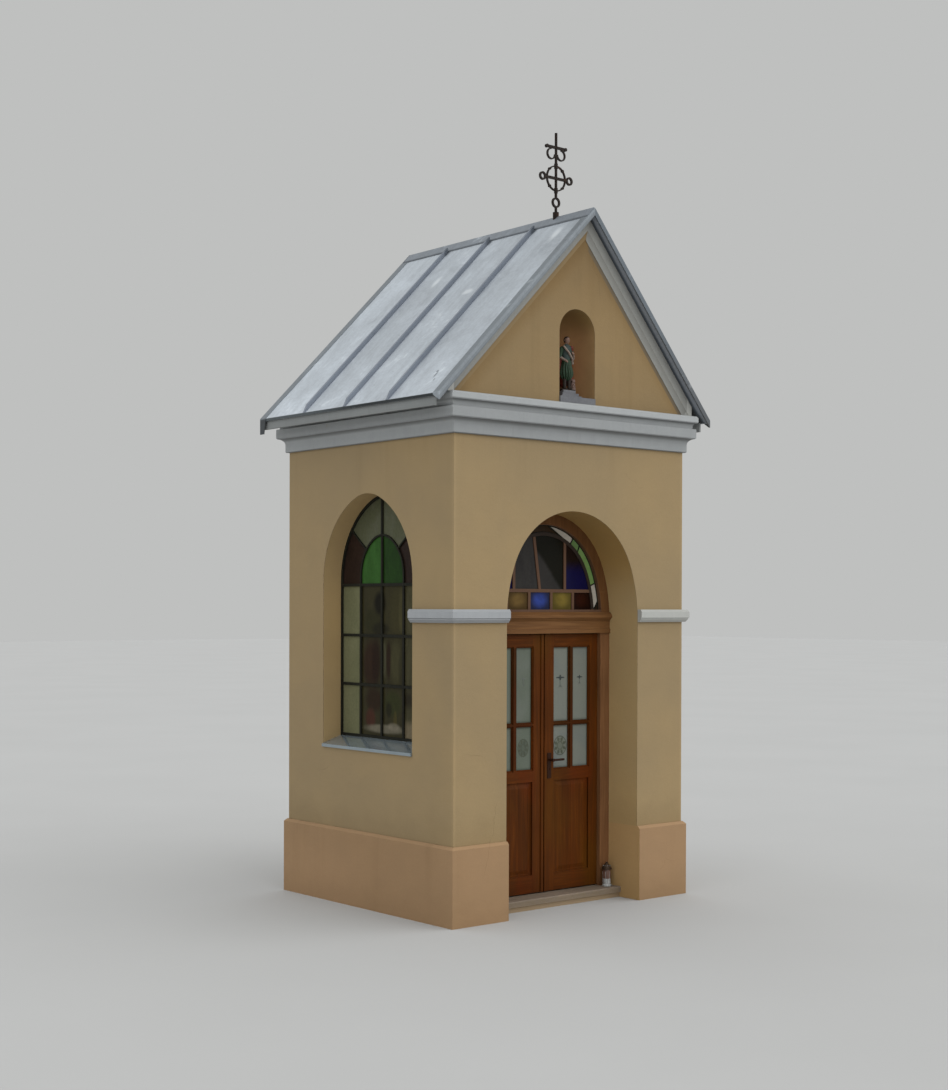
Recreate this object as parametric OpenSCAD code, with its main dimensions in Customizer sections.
// Small masonry wayside shrine. Millimetres, Z up, ground at Z 0, the door faces -Y.

/* [Walls] */
// Outer width of the walls
wall_width = 2400; // [2300:10:2500]
// Outer depth of the walls
wall_depth = 2140; // [2080:10:2220]
// Thickness of the front wall
front_thick = 450; // [430:10:470]
// Thickness of the side and back walls
side_thick = 380; // [340:10:400]
// Height of the plinth
plinth_height = 590; // [540:10:640]
// How far the plinth stands proud of the wall
plinth_proud = 30; // [20:2:40]
// Bevel on the plinth's top edge
plinth_bevel = 20; // [10:2:20]
// Height of the wall under the cornice
cornice_base = 3595; // [3560:5:3640]

/* [Roof] */
// Height of the ridge
ridge_height = 5395; // [5300:5:5450]
// Sideways offset of the ridge from the centre of the plan
ridge_x = 105; // [0:5:120]
// Height of the roof's edge at the eaves
eave_height = 3863; // [3850:1:3880]
// Overhang of the eaves beyond the side walls
eave_overhang = 216; // [206:2:236]
// Overhang of the roof beyond the gable walls
verge_overhang = 100; // [100:2:112]
// Height of the standing seams
seam_height = 28; // [18:2:34]

/* [Doorway] */
// Half the width of the arched doorway
door_half = 690; // [670:5:700]
// Height where the doorway arch springs
door_spring = 2242; // [2235:1:2250]
// How much longer the radius of the arch's flanks is than half the doorway
door_flank_add = 429; // [360:1:490]
// How much shorter the radius of the arch's crown is than half the doorway
door_crown_cut = 34; // [30:1:50]
// Depth of the reveal in front of the door frame
door_recess = 320; // [300:5:330]
// Width of the door frame's jambs
jamb_width = 100; // [90:2:104]
// Thickness of the door leaves
leaf_thick = 45; // [40:1:46]
// Top of the threshold slab
threshold_top = 86; // [80:1:90]

/* [Side windows] */
// Half the width of a side window
window_half = 580; // [560:5:590]
// Height where the window arch springs
window_spring = 2539; // [2520:1:2560]
// How much longer the radius of the window arch's flanks is than half the window
window_flank_add = 114; // [100:1:140]
// How much shorter the radius of the window arch's crown is than half the window
window_crown_cut = 188; // [180:1:200]
// Height of the window sill's outer edge
window_sill = 1240; // [1200:5:1260]
// Depth of the reveal in front of the glazing
window_recess = 170; // [150:5:190]

/* [Niche] */
// Radius of the gable niche
niche_r = 187; // [180:1:192]
// Height where the niche head springs
niche_spring = 4440; // [4380:5:4460]
// Sideways offset of the niche
niche_x = 20; // [0:1:30]

/* [Display] */
// Name of the sub-part to show

/* [Hidden] */
$fn = 64;
eps = 1;
far = 8000;
// Clearance between sloped faces that rest on each other
seat = 0.3;
half_w = wall_width / 2;
half_d = wall_depth / 2;
front_y = -half_d;
back_y = half_d;
inner_front_y = front_y + front_thick;
inner_back_y = back_y - side_thick;
inner_x = half_w - side_thick;
door_flank_r = door_half + door_flank_add;
door_crown_r = door_half - door_crown_cut;
window_flank_r = window_half + window_flank_add;
window_crown_r = window_half - window_crown_cut;

// Colours
c_plaster = [0.72, 0.62, 0.46];
c_plinth = [0.72, 0.55, 0.40];
c_trim = [0.74, 0.75, 0.74];
c_sheet = [0.72, 0.75, 0.78];
c_flashing = [0.52, 0.54, 0.56];
c_board = [0.48, 0.36, 0.24];
c_door = [0.42, 0.20, 0.07];
c_frame = [0.45, 0.28, 0.15];
c_glass = [0.62, 0.67, 0.60];
c_iron = [0.12, 0.10, 0.09];
c_stone = [0.62, 0.57, 0.50];

// Roof planes, measured on the top of the sheet
eave_x = half_w + eave_overhang;
verge_y = half_d + verge_overhang;
slope_left = (ridge_height - eave_height) / (eave_x + ridge_x);
slope_right = (ridge_height - eave_height) / (eave_x - ridge_x);
angle_left = atan(slope_left);
angle_right = atan(slope_right);
sheet_drop = 9;
board_drop = 38;
under_drop = sheet_drop + board_drop;
board_setback = 8;
board_return = 90;
board_nose = 12;
sheet_fold = 6;
drip_height = 20;

function roof_z(x) = x < ridge_x
    ? ridge_height - (ridge_x - x) * slope_left
    : ridge_height - (x - ridge_x) * slope_right;
function under_z(x) = roof_z(x) - under_drop;
apex_under = ridge_height - under_drop;

// Standing seams and the ridge cap
seam_w = 22;
seam_pitch = 545;
seam_ys = [-seam_pitch, 0, seam_pitch];
seam_end = 30;
seam_foot = 2;
seam_toe = 6;
cap_wing = 70;
cap_rise = 12;
cap_crest = 14;

// Metal verge
verge_t = 12;
verge_lip = 6;
verge_strip = 75;
verge_face = 50;
verge_lap = 4;
verge_x = eave_x + verge_lap;
verge_ear = 122;
verge_ear_toe = 48;

// Cornice profile, from its lowest edge up
band_proud = 25;
band_height = 62;
band_arris = 6;
bed_cove = 49;
bed_fillet = 6;
corona_proud = 80;
corona_height = 74;
corona_arris = 3;
neck_proud = 58;
neck_height = 18;
cap_cove = 30;
cap_lip = 6;
cap_proud = 92;
cap_height = 50;
cap_slope = 14;
cap_top_in = 10;
band_top = cornice_base + band_height;
corona_bottom = band_top + bed_cove + bed_fillet;
corona_top = corona_bottom + corona_height;
neck_top = corona_top + neck_height;
cap_bottom = neck_top + cap_cove + cap_lip;
cornice_top = cap_bottom + cap_height;

// Raking cornice profile, measured square to the slope under the boards
rake_proud = 25;
rake_depth = 118;
rake_cove_r = 60;
rake_thin = 4;

// String course profile
string_top = 2317;
string_height = 100;
string_proud = 45;
string_soffit = 25;
string_step = 8;
string_cove = 22;
string_fillet = 8;
string_lip = 4;
string_face_top = 18;
string_weather = 12;

// Floor and threshold
floor_top = 70;
slab_t = 44;
slab_setback = 178;
riser_setback = 195;
slab_arris = 8;

// Doorway pieces
frame_y = front_y + door_recess;
frame_depth = 75;
frame_back_y = frame_y + frame_depth;
leaf_rebate = 32;
leaf_front_y = frame_y + leaf_rebate;
leaf_back_y = leaf_front_y + leaf_thick;
opening_half = door_half - jamb_width;
leaf_gap = 5;
meet_gap = 12;
leaf_outer = opening_half - leaf_gap;
leaf_inner = meet_gap / 2;
leaf_bottom = threshold_top + 10;
transom_bottom = 2126;
transom_height = 170;
transom_top = transom_bottom + transom_height;
leaf_top = transom_bottom - 6;
hinge_x = opening_half + 1;
hinge_y = leaf_back_y + 5;
hinge_r = 7;
hinge_length = 110;
hinge_low = 350;
hinge_pitch = 800;
hinge_zs = [hinge_low, hinge_low + hinge_pitch, hinge_low + 2 * hinge_pitch];
hinge_flap = 40;
hinge_flap_t = 3;

// Transom moulding: lower bead, fascia and crown
bead_proud = 14;
bead_height = 34;
fascia_proud = 4;
fascia_height = 62;
crown_proud = 34;
crown_low = 20;
crown_high = 46;
crown_neck = 22;
crown_nose = 8;

// Leaf layout: stiles, rails, glazing bars and one wide panel
stile = 110;
hinge_stile = 96;
top_rail = 104;
lock_rail = 97;
bottom_rail = 139;
pane_w = 160;
bar_w = 48;
bar_h = 34;
low_pane_h = 335;
pane_low = 1062;
pane_mid_low = pane_low + low_pane_h;
pane_mid_high = pane_mid_low + bar_h;
pane_top = leaf_top - top_rail;
panel_low = leaf_bottom + bottom_rail;
panel_high = pane_low - lock_rail;
panel_sunk = 14;
panel_margin = 16;
panel_bevel = 30;
panel_rise = 8;
meet_bead_w = 26;
meet_bead_t = 8;
leaf_glass_t = 6;
glazing_step = 9;
glazing_w = 10;

// Handle
handle_inset = 54;
handle_z = 1130;
plate_half = 20;
plate_t = 5;
plate_down = 145;
plate_up = 55;
lever_r = 9;
knuckle_r = 12;
lever_reach = 45;
lever_length = 118;
lever_back = 100;
keyhole_r = 6;

// Fanlight
fan_glass_y = frame_y + 34;
fan_glass_t = 5;
fan_bar_y = frame_y + 26;
fan_band_out = 92;
fan_band_in = 150;
fan_muntin = 26;
fan_rim = 19;
fan_low_h = 154;
fan_bar_low = transom_top + fan_low_h;
fan_bar_z = fan_bar_low + fan_muntin / 2;
fan_mid = 75;
fan_pitch = 232.5;
fan_upper_x = 220;
fan_slant_x = -46;
fan_slant_run = 59;
fan_slant_rise = 396;
fan_far_x = -317;

// Side window bars and leaded tracery
bar_t = 22;
bar_depth = 12;
frame_t = 24;
rim_w = 22;
glass_t = 6;
sill_rise = 60;
sill_proud = 14;
sill_lip = 24;
window_mid = 33;
lattice_half = 278;
lattice_cols = [window_mid - lattice_half, window_mid + lattice_half];
lattice_drop = 33;
upper_row_h = 399;
lower_row_h = 390;
lattice_top = window_spring - lattice_drop;
window_rows = [lattice_top - upper_row_h - lower_row_h, lattice_top - upper_row_h, lattice_top];
lattice_stilt = 71;
lattice_flank = lattice_half + 52;
lattice_crown = lattice_half - 58;
lead_w = 15;
lead_lean_x = 206;
lead_lean_z = 279;
lead_lean_run = 300;
lead_lean_rise = 240;

// Niche furniture
niche_floor = cornice_top + 10;
niche_straight = 60;
niche_sill_h = 50;
niche_sill_proud = 12;
niche_gap = 2;
base_step = 20;
base_half = 105;
base_depth = 130;
base_set = 12;
figure_depth = 122;
figure_foot = niche_floor + niche_sill_h + 2 * base_step;

// Ridge cross
cross_y = -729;
cross_base = ridge_height + cap_crest;
foot_r = 24;
foot_h = 36;
shaft_r = 11;
knop_r = 15;
knop_h = 40;
bar_stock = 10;
bar_deep = 16;
foot_ring_z = 113;
foot_ring_r = 34;
arm_z = 303;
arm_half = 120;
arm_h = 20;
scroll_r = 96;
end_ring_x = 142;
end_ring_r = 26;
end_ring_bar = 14;
top_arm_z = 545;
top_arm_half = 98;
curl_x = 52;
curl_z = 491;
curl_r = 40;
cross_height = 659;
blob_r = 10;

// One arch outline: flanks of one radius, a crown of another, tangent to each other
module arch_2d(half, spring, flank, crown, bottom) {
    offset_x = flank - half;
    reach = flank - crown;
    rise = sqrt(reach * reach - offset_x * offset_x);
    tangent_z = spring + rise * flank / reach;
    translate([-half, bottom]) square([2 * half, spring - bottom]);
    intersection() {
        translate([offset_x, spring]) circle(r = flank, $fn = 128);
        translate([-offset_x, spring]) circle(r = flank, $fn = 128);
        translate([-half, spring - eps]) square([2 * half, tangent_z - spring + eps]);
    }
    intersection() {
        translate([0, spring + rise]) circle(r = crown, $fn = 128);
        translate([-half, spring]) square([2 * half, 2 * flank]);
    }
}

// The doorway outline shrunk evenly by inset
module door_arch_2d(inset, bottom) {
    arch_2d(door_half - inset, door_spring, door_flank_r - inset, door_crown_r - inset, bottom);
}

// The window outline shrunk evenly by inset
module window_arch_2d(inset, bottom) {
    arch_2d(window_half - inset, window_spring, window_flank_r - inset, window_crown_r - inset, bottom);
}

// The inner arch of the window's tracery, shrunk evenly by inset
module lattice_arch_2d(inset) {
    translate([window_mid, 0])
        arch_2d(lattice_half - inset, lattice_top + lattice_stilt, lattice_flank - inset,
            lattice_crown - inset, lattice_top);
}

// Everything above a height
module above_2d(z) {
    translate([-far, z]) square([2 * far, far]);
}

// Turns an XZ outline into a solid that runs from y0 to y1
module along_y(y0, y1) {
    translate([0, y1, 0]) rotate([90, 0, 0]) linear_extrude(height = y1 - y0) children();
}

// Turns a YZ outline into a solid that runs from x0 to x1
module along_x(x0, x1) {
    translate([x0, 0, 0]) rotate([90, 0, 90]) linear_extrude(height = x1 - x0) children();
}

// Turns an XY outline into a solid that runs from z0 to z1
module along_z(z0, z1) {
    translate([0, 0, z0]) linear_extrude(height = z1 - z0) children();
}

module box(x0, x1, y0, y1, z0, z1) {
    translate([x0, y0, z0]) cube([x1 - x0, y1 - y0, z1 - z0]);
}

// Everything under the roof boards, as an XZ outline above a given height
module under_roof_2d(z0, x0, x1) {
    polygon([[x0, z0], [x1, z0], [x1, under_z(x1) - seat], [ridge_x, apex_under - seat],
        [x0, under_z(x0) - seat]]);
}

// Cuts whatever reaches up into the roof boards
module trim_under_roof() {
    intersection() {
        children();
        along_y(-far, far) under_roof_2d(0, -eave_x, eave_x);
    }
}

// A plinth block with a bevel on the outer edges that face out
module plinth_block(x0, x1, y0, y1, out_x, out_y) {
    b = plinth_bevel;
    z = plinth_height;
    intersection() {
        along_y(y0, y1)
            polygon([[x0, 0], [x1, 0], [x1, z - (out_x > 0 ? b : 0)], [x1 - (out_x > 0 ? b : 0), z],
                [x0 + (out_x < 0 ? b : 0), z], [x0, z - (out_x < 0 ? b : 0)]]);
        along_x(x0, x1)
            polygon([[y0, 0], [y1, 0], [y1, z - (out_y > 0 ? b : 0)], [y1 - (out_y > 0 ? b : 0), z],
                [y0 + (out_y < 0 ? b : 0), z], [y0, z - (out_y < 0 ? b : 0)]]);
    }
}

module plinth_front_left() {
    color(c_plinth)
        plinth_block(-half_w - plinth_proud, -door_half, front_y - plinth_proud, inner_front_y, -1, -1);
}

module plinth_front_right() {
    color(c_plinth)
        plinth_block(door_half, half_w + plinth_proud, front_y - plinth_proud, inner_front_y, 1, -1);
}

module plinth_left() {
    color(c_plinth)
        plinth_block(-half_w - plinth_proud, -inner_x, inner_front_y, inner_back_y, -1, 0);
}

module plinth_right() {
    color(c_plinth)
        plinth_block(inner_x, half_w + plinth_proud, inner_front_y, inner_back_y, 1, 0);
}

module plinth_back() {
    reach = half_w + plinth_proud;
    color(c_plinth) intersection() {
        plinth_block(-reach, reach, inner_back_y, back_y + plinth_proud, -1, 1);
        plinth_block(-reach, reach, inner_back_y, back_y + plinth_proud, 1, 1);
    }
}

module floor_slab() {
    color(c_stone) {
        box(-inner_x, inner_x, inner_front_y, inner_back_y, 0, floor_top);
        box(-door_half, door_half, front_y + riser_setback, inner_front_y, 0, threshold_top - slab_t);
    }
}

module threshold_slab() {
    slab_y = front_y + slab_setback;
    color(c_stone) along_x(-door_half, door_half)
        polygon([[slab_y, threshold_top - slab_t], [inner_front_y, threshold_top - slab_t],
            [inner_front_y, threshold_top], [slab_y + slab_arris, threshold_top],
            [slab_y, threshold_top - slab_arris]]);
}

// The front wall in three pieces: a pier each side of the doorway and the arch wall over it
module front_pier_left() {
    color(c_plaster) box(-half_w, -door_half, front_y, inner_front_y, plinth_height, door_spring);
}

module front_pier_right() {
    color(c_plaster) box(door_half, half_w, front_y, inner_front_y, plinth_height, door_spring);
}

module niche_cut() {
    translate([niche_x, front_y + niche_straight, 0]) {
        translate([0, 0, niche_floor]) cylinder(r = niche_r, h = niche_spring - niche_floor);
        translate([0, 0, niche_spring]) sphere(r = niche_r);
        along_y(-2 * niche_straight, 0) {
            translate([0, niche_spring]) circle(r = niche_r);
            translate([-niche_r, niche_floor]) square([2 * niche_r, niche_spring - niche_floor]);
        }
    }
}

module front_arch_wall() {
    color(c_plaster) difference() {
        along_y(front_y, inner_front_y) under_roof_2d(door_spring, -half_w, half_w);
        along_y(front_y - eps, inner_front_y + eps) door_arch_2d(0, door_spring - eps);
        niche_cut();
    }
}

module side_wall_solid(outer, inner) {
    difference() {
        along_y(inner_front_y, inner_back_y)
            polygon([[outer, plinth_height], [inner, plinth_height], [inner, under_z(inner) - seat],
                [outer, under_z(outer) - seat]]);
        along_x(min(outer, inner) - eps, max(outer, inner) + eps) window_arch_2d(0, window_sill);
    }
}

module left_wall() {
    color(c_plaster) side_wall_solid(-half_w, -inner_x);
}

module right_wall() {
    color(c_plaster) side_wall_solid(half_w, inner_x);
}

module back_wall() {
    color(c_plaster) along_y(inner_back_y, back_y) under_roof_2d(plinth_height, -half_w, half_w);
}

// Hollow of a cove, a quarter disc about the moulding's lower outer corner
module cove_2d(x, z, r) {
    intersection() {
        translate([x, z]) circle(r = r);
        translate([x - r, z - eps]) square([r + eps, r + eps]);
    }
}

// Cornice profile, x outward from the wall, y up: band, bed cove, corona, neck, upper cove and cap
module cornice_2d() {
    bed_x = band_proud + bed_cove;
    neck_x = neck_proud + cap_cove;
    difference() {
        polygon([[0, cornice_base], [band_proud - band_arris, cornice_base],
            [band_proud, cornice_base + band_arris], [band_proud, band_top], [bed_x, band_top],
            [bed_x, corona_bottom], [corona_proud, corona_bottom], [corona_proud, corona_top - corona_arris],
            [corona_proud - corona_arris, corona_top], [neck_proud, corona_top], [neck_proud, neck_top],
            [neck_x, neck_top], [neck_x, cap_bottom], [cap_proud, cap_bottom],
            [cap_proud, cornice_top - cap_slope], [cap_proud - cap_top_in, cornice_top], [0, cornice_top]]);
        cove_2d(bed_x, band_top, bed_cove);
        cove_2d(neck_x, neck_top, cap_cove);
    }
}

// A run of moulding along X, mitred at both ends, its back at Y 0 and its face towards -Y
module mitred_run(half_length, reach) {
    spread = 2 * reach;
    intersection() {
        translate([-half_length - reach, 0, 0]) rotate([90, 0, 90]) mirror([1, 0, 0])
            linear_extrude(height = 2 * (half_length + reach)) children();
        linear_extrude(height = far)
            polygon([[-half_length, 0], [half_length, 0], [half_length + spread, -spread],
                [-half_length - spread, -spread]]);
    }
}

module cornice_front() {
    color(c_trim) trim_under_roof()
        translate([0, front_y, 0]) mitred_run(half_w, cap_proud) cornice_2d();
}

module cornice_back() {
    color(c_trim) trim_under_roof()
        rotate([0, 0, 180]) translate([0, -back_y, 0]) mitred_run(half_w, cap_proud) cornice_2d();
}

module cornice_left() {
    color(c_trim) trim_under_roof()
        rotate([0, 0, -90]) translate([0, -half_w, 0]) mitred_run(half_d, cap_proud) cornice_2d();
}

module cornice_right() {
    color(c_trim) trim_under_roof()
        rotate([0, 0, 90]) translate([0, -half_w, 0]) mitred_run(half_d, cap_proud) cornice_2d();
}

module string_2d() {
    s = string_proud;
    z = string_top - string_height;
    polygon([[0, z], [s - string_soffit, z], [s - string_step, z + string_cove],
        [s - string_step, z + string_cove + string_fillet], [s, z + string_cove + string_fillet + string_lip],
        [s, string_top - string_face_top], [s - string_weather, string_top], [0, string_top]]);
}

// String course on one side: doorway edge, round the corner, to the window's reveal
module string_side(hand) {
    s = string_proud;
    mirror([hand > 0 ? 1 : 0, 0, 0]) {
        intersection() {
            translate([-half_w - s, front_y, 0]) rotate([90, 0, 90]) mirror([1, 0, 0])
                linear_extrude(height = half_w + s - door_half) string_2d();
            linear_extrude(height = far)
                polygon([[-half_w, front_y], [-door_half, front_y], [-door_half, front_y - 2 * s],
                    [-half_w - 2 * s, front_y - 2 * s]]);
        }
        intersection() {
            along_y(front_y - s, -window_half) translate([-half_w, 0]) mirror([1, 0]) string_2d();
            linear_extrude(height = far)
                polygon([[-half_w, front_y], [-half_w, -window_half], [-half_w - 2 * s, -window_half],
                    [-half_w - 2 * s, front_y - 2 * s]]);
        }
    }
}

module string_course_left() {
    color(c_trim) string_side(-1);
}

module string_course_right() {
    color(c_trim) string_side(1);
}

// Raking cornice profile in YZ: a flat face that runs out to the wall in a cove, its top against the boards
module rake_2d() {
    difference() {
        polygon([[0, 0], [-rake_proud, 0], [-rake_proud, -rake_depth], [0, -rake_depth]]);
        translate([-rake_thin - rake_cove_r, -rake_depth]) circle(r = rake_cove_r);
    }
}

// One slope's run of the raking cornice, cut on the mitre at the ridge and level on the cornice
module rake_run(slope_angle, hand) {
    lean = tan((angle_right - angle_left) / 2);
    foot = half_w + cap_proud - cap_top_in;
    drop = apex_under - cornice_top;
    intersection() {
        translate([ridge_x, 0, apex_under - seat]) mirror([hand > 0 ? 0 : 1, 0, 0])
            rotate([0, slope_angle, 0]) along_x(-rake_depth * 2, far) rake_2d();
        along_y(-2 * rake_proud, eps)
            polygon([[ridge_x, apex_under + rake_depth], [ridge_x, apex_under],
                [ridge_x - drop * lean, cornice_top + seat], [hand * foot, cornice_top + seat],
                [hand * foot, apex_under + rake_depth]]);
    }
}

module raking_pair() {
    rake_run(angle_left, -1);
    rake_run(angle_right, 1);
}

module raking_cornice_front() {
    color(c_trim) translate([0, front_y, 0]) raking_pair();
}

module raking_cornice_back() {
    color(c_trim) translate([0, back_y, 0]) mirror([0, 1, 0]) raking_pair();
}

// Roof boards on one slope, nosed at the eaves and cut plumb at the ridge
module boards_2d(hand) {
    nose = hand * (eave_x - sheet_fold);
    foot = hand * (eave_x - board_return);
    polygon([[nose, roof_z(nose) - sheet_drop], [ridge_x, ridge_height - sheet_drop], [ridge_x, apex_under],
        [foot, under_z(foot)], [nose, roof_z(nose) - sheet_drop - board_nose]]);
}

module roof_boards_left() {
    color(c_board) along_y(-verge_y + board_setback, verge_y - board_setback) boards_2d(-1);
}

module roof_boards_right() {
    color(c_board) along_y(-verge_y + board_setback, verge_y - board_setback) boards_2d(1);
}

// The sheet in section, with the drip edge folded down over the boards' nose
module sheet_2d(hand) {
    edge = hand * eave_x;
    fold = hand * (eave_x - sheet_fold);
    polygon([[edge, roof_z(edge)], [ridge_x, ridge_height], [ridge_x, ridge_height - sheet_drop + seat],
        [fold, roof_z(fold) - sheet_drop + seat], [fold, eave_height - drip_height],
        [edge, eave_height - drip_height]]);
}

// A standing seam in section along the slope, from the drip edge to the ridge cap
module seam_2d(hand, slope_angle) {
    edge = hand * eave_x;
    start = hand * (eave_x - seam_end);
    stop = ridge_x + hand * (cap_wing + eps);
    rise = seam_height / cos(slope_angle);
    polygon([[edge, roof_z(edge) - seam_foot], [edge, roof_z(edge) + seam_toe], [start, roof_z(start) + rise],
        [stop, roof_z(stop) + rise], [stop, roof_z(stop) - seam_foot]]);
}

module sheet_side(hand, slope_angle) {
    along_y(-verge_y + board_setback, verge_y - board_setback) sheet_2d(hand);
    for (y = seam_ys)
        along_y(y - seam_w / 2, y + seam_w / 2) seam_2d(hand, slope_angle);
}

module roof_sheet_left() {
    color(c_sheet) sheet_side(-1, angle_left);
}

module roof_sheet_right() {
    color(c_sheet) sheet_side(1, angle_right);
}

function cap_x(hand) = ridge_x + hand * cap_wing;

module ridge_cap() {
    color(c_flashing) along_y(-verge_y + board_setback, verge_y - board_setback)
        polygon([[cap_x(-1), roof_z(cap_x(-1)) + seat], [ridge_x, ridge_height + seat],
            [cap_x(1), roof_z(cap_x(1)) + seat], [cap_x(1), roof_z(cap_x(1)) + cap_rise],
            [ridge_x, cross_base], [cap_x(-1), roof_z(cap_x(-1)) + cap_rise]]);
}

// The part of the metal verge that lies on the sheet, one slope
module verge_strip_2d(hand) {
    edge = hand * verge_x;
    stop = ridge_x + hand * (cap_wing + eps);
    polygon([[edge, roof_z(edge) + seat], [stop, roof_z(stop) + seat], [stop, roof_z(stop) + verge_lip],
        [edge, roof_z(edge) + verge_lip]]);
}

// Folded metal over the gable edge: a strip on the sheet, a face that hangs down and ears over the drip edge
module verge_pair(ear_drop, ear_toe) {
    face_back = -verge_y + board_setback;
    face_front = face_back - verge_t;
    strip_back = -verge_y + verge_strip;
    along_y(face_front, face_back)
        polygon([[-verge_x, roof_z(-verge_x) - verge_face], [-verge_x, roof_z(-verge_x) + verge_lip],
            [ridge_x, ridge_height + verge_lip], [verge_x, roof_z(verge_x) + verge_lip],
            [verge_x, roof_z(verge_x) - verge_face], [ridge_x, ridge_height - verge_face]]);
    for (hand = [-1, 1]) {
        top = roof_z(hand * verge_x) + verge_lip - seat;
        low = roof_z(hand * verge_x) - ear_drop;
        along_y(-verge_y, strip_back) verge_strip_2d(hand);
        mirror([hand > 0 ? 0 : 1, 0, 0]) along_x(eave_x + seat, verge_x)
            polygon([[face_front, low], [face_back + ear_toe, low], [strip_back, top - 2 * verge_lip],
                [strip_back, top], [face_front, top]]);
    }
}

module verge_front() {
    color(c_flashing) verge_pair(verge_face, 0);
}

module verge_back() {
    color(c_flashing) mirror([0, 1, 0]) verge_pair(verge_ear, verge_ear_toe);
}

// Wrought iron: a flat bar bent to a circle, seen along Y
module hoop_2d(x, z, r, stock) {
    translate([x, z]) difference() {
        circle(r = r + stock / 2, $fn = 48);
        circle(r = r - stock / 2, $fn = 48);
    }
}

// The outline of the scroll work: foot ring, arms, lozenge hoop, end rings and the upper curls
module cross_2d() {
    hoop_2d(0, foot_ring_z, foot_ring_r, end_ring_bar);
    hoop_2d(0, arm_z, scroll_r, bar_stock);
    translate([-arm_half, arm_z - arm_h / 2]) square([2 * arm_half, arm_h]);
    translate([-top_arm_half, top_arm_z - arm_h / 2]) square([2 * top_arm_half, arm_h]);
    for (side = [-1, 1]) {
        hoop_2d(side * end_ring_x, arm_z, end_ring_r, end_ring_bar);
        difference() {
            hoop_2d(side * curl_x, curl_z, curl_r, bar_stock);
            translate([side > 0 ? 0 : -curl_x, curl_z]) square([curl_x, curl_r + bar_stock]);
        }
    }
}

module ridge_cross() {
    blob = scroll_r * cos(45);
    color(c_iron) translate([ridge_x, cross_y, cross_base]) {
        along_y(-bar_deep / 2, bar_deep / 2) cross_2d();
        difference() {
            translate([0, 0, -foot_h]) cylinder(r = foot_r, h = 2 * foot_h);
            along_y(-2 * foot_r, 2 * foot_r)
                polygon([[-far, -far * slope_left + seat], [0, seat], [far, -far * slope_right + seat],
                    [0, -far * 2]]);
        }
        translate([0, 0, foot_h - eps])
            cylinder(r = shaft_r, h = foot_ring_z - foot_ring_r - foot_h + 2 * eps);
        translate([0, 0, foot_ring_z + foot_ring_r - eps])
            cylinder(r = shaft_r, h = cross_height - foot_ring_z - foot_ring_r + eps);
        for (z = [arm_z - scroll_r, arm_z + scroll_r])
            translate([0, 0, z - knop_h / 2]) cylinder(r = knop_r, h = knop_h);
        for (side = [-1, 1]) {
            for (up = [-1, 1])
                translate([side * blob, -bar_deep / 2 - 2, arm_z + up * blob]) rotate([-90, 0, 0])
                    cylinder(r = blob_r, h = bar_deep + 4);
            translate([side * top_arm_half, -bar_deep / 2 - 2, top_arm_z]) rotate([-90, 0, 0])
                cylinder(r = arm_h * 0.7, h = bar_deep + 4);
        }
    }
}

// Niche furniture
module niche_sill() {
    top = niche_floor + niche_sill_h;
    sill_r = niche_r - niche_gap;
    color(c_stone) {
        intersection() {
            translate([niche_x, front_y + niche_straight, niche_floor])
                cylinder(r = sill_r, h = niche_sill_h);
            box(niche_x - niche_r, niche_x + niche_r, front_y + niche_straight, inner_front_y,
                niche_floor, top);
        }
        box(niche_x - sill_r, niche_x + sill_r, front_y - niche_sill_proud, front_y + niche_straight,
            niche_floor, top);
        for (k = [0, 1])
            box(niche_x - base_half + k * base_step, niche_x + base_half - k * base_step,
                front_y + niche_straight + k * base_set, front_y + niche_straight + base_depth - k * base_set,
                top + k * base_step, top + (k + 1) * base_step);
    }
}

robe_r = 66;
robe_h = 235;
waist_r = 44;
chest_r = 56;
chest_z = 300;
neck_r = 17;
neck_z = 352;
head_r = 33;
head_z = 388;
arm_r = 15;
mantle_r = 74;
mantle_h = 330;
helper_x = 72;

// A robed figure in the round: robe, chest and neck turned, mantle and arms over them
module niche_figure() {
    color(c_door) translate([niche_x, front_y + figure_depth, figure_foot]) {
        rotate_extrude()
            polygon([[0, 0], [robe_r, 0], [robe_r - 6, 40], [waist_r + 6, robe_h - 60], [waist_r, robe_h],
                [chest_r, chest_z], [chest_r - 12, chest_z + 24], [neck_r, neck_z - 12],
                [neck_r, neck_z + 10], [0, neck_z + 10]]);
        translate([0, -4, head_z]) sphere(r = head_r);
        intersection() {
            cylinder(r1 = mantle_r, r2 = chest_r + 2, h = mantle_h - 18);
            box(-mantle_r, mantle_r * 0.4, -mantle_r * 0.3, mantle_r, 0, mantle_h);
        }
        for (side = [-1, 1])
            translate([side * 50, -8, chest_z - 10]) rotate([0, side * -24, 0]) translate([0, 0, -95])
                cylinder(r = arm_r, h = 100);
        translate([-44, -34, 215]) rotate([0, 62, 24]) cylinder(r = arm_r - 3, h = 84);
        translate([helper_x - 12, -10, 0]) {
            cylinder(r1 = 26, r2 = 18, h = 62);
            translate([0, 0, 72]) sphere(r = 21);
        }
    }
}

// Door frame
module door_jamb(hand) {
    mirror([hand > 0 ? 1 : 0, 0, 0])
        box(-door_half, -opening_half, frame_y, frame_back_y, threshold_top, transom_bottom);
}

module door_jamb_left() {
    color(c_frame) door_jamb(-1);
}

module door_jamb_right() {
    color(c_frame) door_jamb(1);
}

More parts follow.
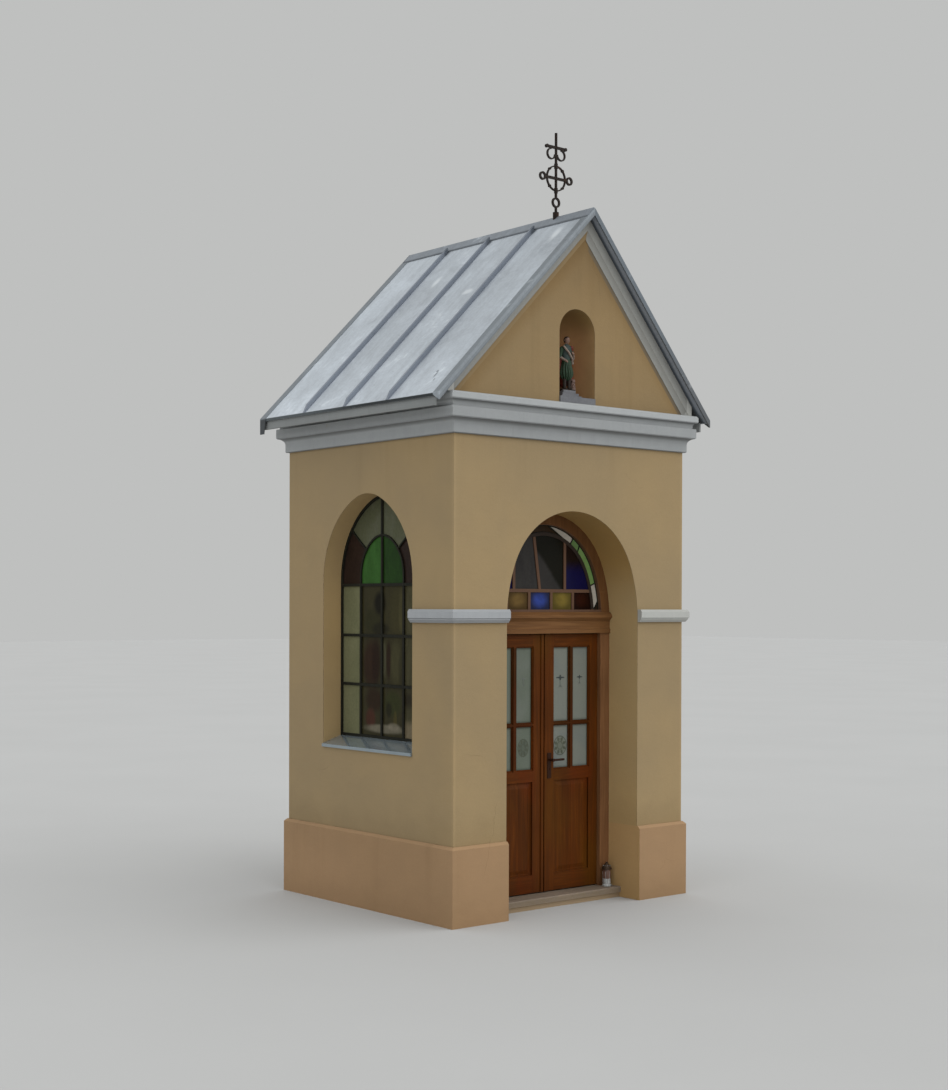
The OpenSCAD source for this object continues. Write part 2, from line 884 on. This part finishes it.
// Transom with its moulding, cut to the arch where it stands above the springing
module door_transom() {
    fascia_z = transom_bottom + bead_height;
    crown_z = transom_top - crown_high;
    color(c_frame) intersection() {
        along_x(-door_half, door_half)
            polygon([[frame_back_y, transom_bottom], [frame_y - bead_proud, transom_bottom],
                [frame_y - bead_proud, fascia_z - 2], [frame_y - fascia_proud, fascia_z],
                [frame_y - fascia_proud, fascia_z + fascia_height], [frame_y - crown_neck, crown_z - 8],
                [frame_y - crown_neck - 6, crown_z], [frame_y - crown_proud, crown_z],
                [frame_y - crown_proud, crown_z + crown_low], [frame_y - crown_nose, transom_top],
                [frame_back_y, transom_top]]);
        along_y(front_y, inner_front_y) door_arch_2d(seat, transom_bottom - eps);
    }
}

// Fanlight: an arched frame, a slim inner arch and glazing bars in front of the glass
module fan_upper_bars_2d() {
    half_bar = fan_muntin / 2;
    translate([fan_upper_x - half_bar, fan_bar_z]) square([fan_muntin, far]);
    translate([fan_far_x - half_bar, fan_bar_z]) square([fan_muntin, far]);
    polygon([[fan_slant_x - half_bar, fan_bar_z], [fan_slant_x + half_bar, fan_bar_z],
        [fan_slant_x + half_bar - fan_slant_run * 1.4, fan_bar_z + fan_slant_rise * 1.4],
        [fan_slant_x - half_bar - fan_slant_run * 1.4, fan_bar_z + fan_slant_rise * 1.4]]);
}

module fanlight_frame() {
    color(c_frame) {
        along_y(frame_y, frame_back_y) difference() {
            intersection() {
                door_arch_2d(seat, transom_bottom);
                above_2d(transom_top);
            }
            intersection() {
                door_arch_2d(fan_band_out, transom_bottom);
                above_2d(transom_top + fan_rim);
            }
        }
        along_y(fan_bar_y, fan_glass_y) intersection() {
            difference() {
                door_arch_2d(fan_band_in, transom_bottom);
                door_arch_2d(fan_band_in + fan_muntin, transom_bottom - eps);
            }
            above_2d(transom_top + fan_rim / 2);
        }
        along_y(fan_bar_y, fan_glass_y) intersection() {
            door_arch_2d(fan_band_in + fan_muntin / 2, transom_bottom);
            above_2d(transom_top + fan_rim / 2);
            union() {
                translate([-far, fan_bar_low]) square([2 * far, fan_muntin]);
                for (k = [-2:1])
                    translate([fan_mid + k * fan_pitch - fan_muntin / 2, transom_top])
                        square([fan_muntin, fan_low_h + eps]);
                fan_upper_bars_2d();
            }
        }
    }
}

module fanlight_glass() {
    color(c_glass) along_y(fan_glass_y, fan_glass_y + fan_glass_t) intersection() {
        door_arch_2d(fan_band_out, transom_bottom);
        above_2d(transom_top + fan_rim);
    }
}

glass_x0 = leaf_inner + stile;
glass_x1 = glass_x0 + pane_w;
glass_x2 = glass_x1 + bar_w;
glass_x3 = leaf_outer - hinge_stile;
pane_xs = [[glass_x0, glass_x1], [glass_x2, glass_x3]];
pane_zs = [[pane_low, pane_mid_low], [pane_mid_high, pane_top]];

// A door leaf drawn on the right: hinge side at +X, meeting edge near X 0
module leaf_solid() {
    difference() {
        box(leaf_inner, leaf_outer, leaf_front_y, leaf_back_y, leaf_bottom, leaf_top);
        for (xs = pane_xs)
            for (zs = pane_zs) {
                box(xs[0], xs[1], leaf_front_y - eps, leaf_back_y + eps, zs[0], zs[1]);
                box(xs[0] - glazing_w, xs[1] + glazing_w, leaf_front_y - eps, leaf_front_y + glazing_step,
                    zs[0] - glazing_w, zs[1] + glazing_w);
            }
        box(glass_x0, glass_x3, leaf_front_y - eps, leaf_front_y + panel_sunk, panel_low, panel_high);
        box(glass_x0, glass_x3, leaf_back_y - panel_sunk, leaf_back_y + eps, panel_low, panel_high);
    }
    raised_panel(glass_x0 + panel_margin, glass_x3 - panel_margin, panel_low + panel_margin,
        panel_high - panel_margin);
    box(leaf_inner, leaf_inner + meet_bead_w, leaf_front_y - meet_bead_t, leaf_front_y + eps,
        leaf_bottom, leaf_top);
}

// A raised field with bevelled edges
module raised_panel(x0, x1, z0, z1) {
    d = panel_bevel;
    y = leaf_front_y + panel_sunk;
    top = y - panel_rise;
    intersection() {
        along_x(x0, x1)
            polygon([[y + eps, z0], [y, z0], [top, z0 + d], [top, z1 - d], [y, z1], [y + eps, z1]]);
        along_z(z0, z1)
            polygon([[x0, y + eps], [x0, y], [x0 + d, top], [x1 - d, top], [x1, y], [x1, y + eps]]);
    }
}

module leaf_glass() {
    y = leaf_front_y + leaf_thick / 2;
    for (xs = pane_xs)
        for (zs = pane_zs)
            box(xs[0], xs[1], y - leaf_glass_t / 2, y + leaf_glass_t / 2, zs[0], zs[1]);
}

module door_leaf_left() {
    color(c_door) mirror([1, 0, 0]) leaf_solid();
}

module door_leaf_right() {
    color(c_door) leaf_solid();
}

module door_glass_left() {
    color(c_glass) mirror([1, 0, 0]) leaf_glass();
}

module door_glass_right() {
    color(c_glass) leaf_glass();
}

// Lever handle on a long plate, inside and out
module door_handle() {
    x = leaf_inner + handle_inset;
    out_y = leaf_front_y - lever_reach;
    in_y = leaf_back_y + lever_reach;
    color(c_iron) {
        difference() {
            box(x - plate_half, x + plate_half, leaf_front_y - plate_t, leaf_front_y, handle_z - plate_down,
                handle_z + plate_up);
            translate([x, leaf_front_y + eps, handle_z - plate_down / 2]) rotate([90, 0, 0])
                cylinder(r = keyhole_r, h = plate_t + 2 * eps);
        }
        translate([x, leaf_front_y - plate_t, handle_z]) rotate([90, 0, 0])
            cylinder(r = lever_r, h = lever_reach - plate_t);
        translate([x, out_y, handle_z]) rotate([0, 90, 0]) cylinder(r = lever_r, h = lever_length);
        translate([x, out_y - knuckle_r, handle_z]) rotate([-90, 0, 0])
            cylinder(r = knuckle_r, h = 2 * knuckle_r);
        box(x - plate_half, x + plate_half, leaf_back_y, leaf_back_y + plate_t, handle_z - plate_down,
            handle_z + plate_up);
        translate([x, in_y, handle_z]) rotate([90, 0, 0]) cylinder(r = lever_r, h = lever_reach - plate_t);
        translate([x, in_y, handle_z]) rotate([0, 90, 0]) cylinder(r = lever_r, h = lever_back);
        translate([x, in_y - knuckle_r, handle_z]) rotate([-90, 0, 0])
            cylinder(r = knuckle_r, h = 2 * knuckle_r);
    }
}

module door_hinges() {
    color(c_iron) for (side = [-1, 1])
        for (z = hinge_zs) {
            translate([side * hinge_x, hinge_y, z]) cylinder(r = hinge_r, h = hinge_length);
            mirror([side > 0 ? 0 : 1, 0, 0])
                box(hinge_x, hinge_x + hinge_flap, frame_back_y, frame_back_y + hinge_flap_t, z,
                    z + hinge_length);
        }
}

// The opening inside the window frame's rim
module window_light_2d() {
    intersection() {
        window_arch_2d(rim_w, window_sill);
        above_2d(window_sill + sill_rise + rim_w);
    }
}

// A slanted lead that runs outward from the inner arch to the frame
module leaning_lead_2d(side) {
    x = window_mid + side * lead_lean_x;
    z = lattice_top + lead_lean_z;
    polygon([[x, z - lead_w / 2], [x + side * lead_lean_run, z + lead_lean_rise - lead_w / 2],
        [x + side * lead_lean_run, z + lead_lean_rise + lead_w / 2], [x, z + lead_w / 2]]);
}

// Bars and leads of a side window: lattice below, arched tracery above
module window_tracery_2d() {
    for (y = lattice_cols)
        translate([y - bar_t / 2, window_sill]) square([bar_t, lattice_top - window_sill + bar_t / 2]);
    translate([window_mid - bar_t / 2, window_sill]) square([bar_t, far]);
    for (z = window_rows)
        translate([-far, z - bar_t / 2]) square([2 * far, bar_t]);
    difference() {
        lattice_arch_2d(-lead_w / 2);
        lattice_arch_2d(lead_w / 2);
    }
    difference() {
        for (side = [-1, 1])
            leaning_lead_2d(side);
        lattice_arch_2d(0);
    }
}

// Side windows, drawn for the right wall and mirrored for the left
module window_frame_solid() {
    x0 = half_w - window_recess - frame_t;
    x1 = half_w - window_recess;
    along_x(x0, x1) difference() {
        window_arch_2d(0, window_sill + sill_rise);
        window_light_2d();
    }
    along_x(x1 - bar_depth, x1) intersection() {
        window_arch_2d(rim_w - 2, window_sill + sill_rise + rim_w - 2);
        window_tracery_2d();
    }
}

module window_glass_solid() {
    x1 = half_w - window_recess - bar_depth;
    along_x(x1 - glass_t, x1) window_light_2d();
}

module window_sill_solid() {
    out_x = half_w + sill_proud;
    recess_x = half_w - window_recess;
    along_y(-window_half, window_half)
        polygon([[out_x, window_sill - sill_lip], [out_x, window_sill], [recess_x, window_sill + sill_rise],
            [inner_x, window_sill + sill_rise], [inner_x, window_sill], [half_w, window_sill],
            [half_w, window_sill - sill_lip]]);
}

module window_frame_left() {
    color(c_iron) mirror([1, 0, 0]) window_frame_solid();
}

module window_frame_right() {
    color(c_iron) window_frame_solid();
}

module window_glass_left() {
    color(c_glass) mirror([1, 0, 0]) window_glass_solid();
}

module window_glass_right() {
    color(c_glass) window_glass_solid();
}

module window_sill_left() {
    color(c_stone) mirror([1, 0, 0]) window_sill_solid();
}

module window_sill_right() {
    color(c_stone) window_sill_solid();
}

// Small grave lantern on the threshold, by the right jamb
lantern_side = 75;
lantern_x = door_half - lantern_side;
lantern_set = 55;
lantern_r = 32;
lantern_foot = 14;
lantern_body = 120;
lantern_brim = 16;
lantern_lid = 36;
lantern_knob = 10;

module votive_lantern() {
    brim_z = lantern_foot + lantern_body;
    lid_z = brim_z + lantern_brim;
    color(c_trim) translate([lantern_x, frame_y - lantern_set, threshold_top]) {
        cylinder(r1 = lantern_r + 6, r2 = lantern_r + 2, h = lantern_foot);
        translate([0, 0, lantern_foot]) cylinder(r = lantern_r, h = lantern_body);
        translate([0, 0, brim_z]) cylinder(r1 = lantern_r + 10, r2 = lantern_r + 8, h = lantern_brim);
        translate([0, 0, lid_z]) cylinder(r1 = lantern_r + 8, r2 = lantern_r - 20, h = lantern_lid);
        translate([0, 0, lid_z + lantern_lid]) cylinder(r = lantern_r / 4, h = lantern_knob);
    }
}

plinth_front_left();
plinth_front_right();
plinth_left();
plinth_right();
plinth_back();
floor_slab();
threshold_slab();
front_pier_left();
front_pier_right();
front_arch_wall();
left_wall();
right_wall();
back_wall();
cornice_front();
cornice_back();
cornice_left();
cornice_right();
string_course_left();
string_course_right();
raking_cornice_front();
raking_cornice_back();
roof_boards_left();
roof_boards_right();
roof_sheet_left();
roof_sheet_right();
ridge_cap();
verge_front();
verge_back();
ridge_cross();
niche_sill();
niche_figure();
door_jamb_left();
door_jamb_right();
door_transom();
fanlight_frame();
fanlight_glass();
door_leaf_left();
door_leaf_right();
door_glass_left();
door_glass_right();
door_handle();
door_hinges();
window_frame_left();
window_frame_right();
window_glass_left();
window_glass_right();
window_sill_left();
window_sill_right();
votive_lantern();
